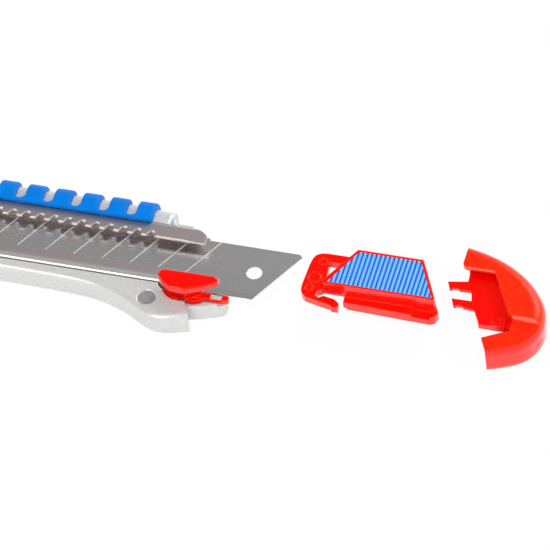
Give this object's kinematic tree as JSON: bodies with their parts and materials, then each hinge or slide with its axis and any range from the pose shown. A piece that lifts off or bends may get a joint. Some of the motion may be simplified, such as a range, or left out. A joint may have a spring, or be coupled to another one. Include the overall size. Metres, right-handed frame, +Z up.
{
  "type": "snap-off utility knife",
  "caption": "Snap-off utility knife opened for a blade change: die-cast handle with steel blade channel, notched grip, latch lever, ribbed slider and hooded end cap.",
  "frame": {"origin": "a point on the handle's flat back, under the blade's centre line, half way along the handle", "axes": "+X to the rear of the knife along the blade channel, +Y across the blade towards the spine grip, +Z up out of the back towards the slider side"},
  "size_m": [0.2417, 0.041, 0.0141],
  "materials": {
    "casting": "satin silver die-casting",
    "grip": "smooth soft blue grip",
    "channel_steel": "rolled steel, brushed along its length",
    "rivet_steel": "plain",
    "pin_steel": "grey, slightly rough",
    "red_plastic": "strong red, soft gloss",
    "blade_steel": "ground blade steel",
    "pad": "ribbed blue pad"
  },
  "bodies": {
    "handle": {"handle_body": "casting", "grip_inlay": "grip", "blade_channel": "channel_steel", "channel_rivet_front": "rivet_steel", "channel_rivet_rear": "rivet_steel", "latch_pin": "pin_steel"},
    "latch": {"latch_lever": "red_plastic"},
    "blade": {"blade": "blade_steel"},
    "slider": {"slider_carrier": "red_plastic", "slider_pad": "pad", "blade_stud": "red_plastic"},
    "cap": {"end_cap": "red_plastic"}
  },
  "joints": [
    {"name": "blade_slide", "type": "slide", "parent": "handle", "child": "blade", "axis": [-1, 0, 0], "range_m": [0, 0.14]},
    {"name": "slider_mount", "type": "slide", "parent": "blade", "child": "slider", "axis": [-1, 0, 0], "range_m": [0, 0.0176], "deforming": ["blade_stud"]},
    {"name": "cap_slide", "type": "slide", "parent": "handle", "child": "cap", "axis": [-0.9996, -0.0287, 0], "range_m": [0, 0.08353]},
    {"name": "latch_swing", "type": "hinge", "parent": "handle", "child": "latch", "pos_m": [0.0487, -0.0161, 0.0075], "axis": [0, 0, -1], "range_deg": [0, 2.5], "stiffness_Nm_per_rad": 0.1}
  ],
  "couplings": [
    {"joint": "cap_slide", "follows": "blade_slide", "ratio": 0.59667}
  ]
}
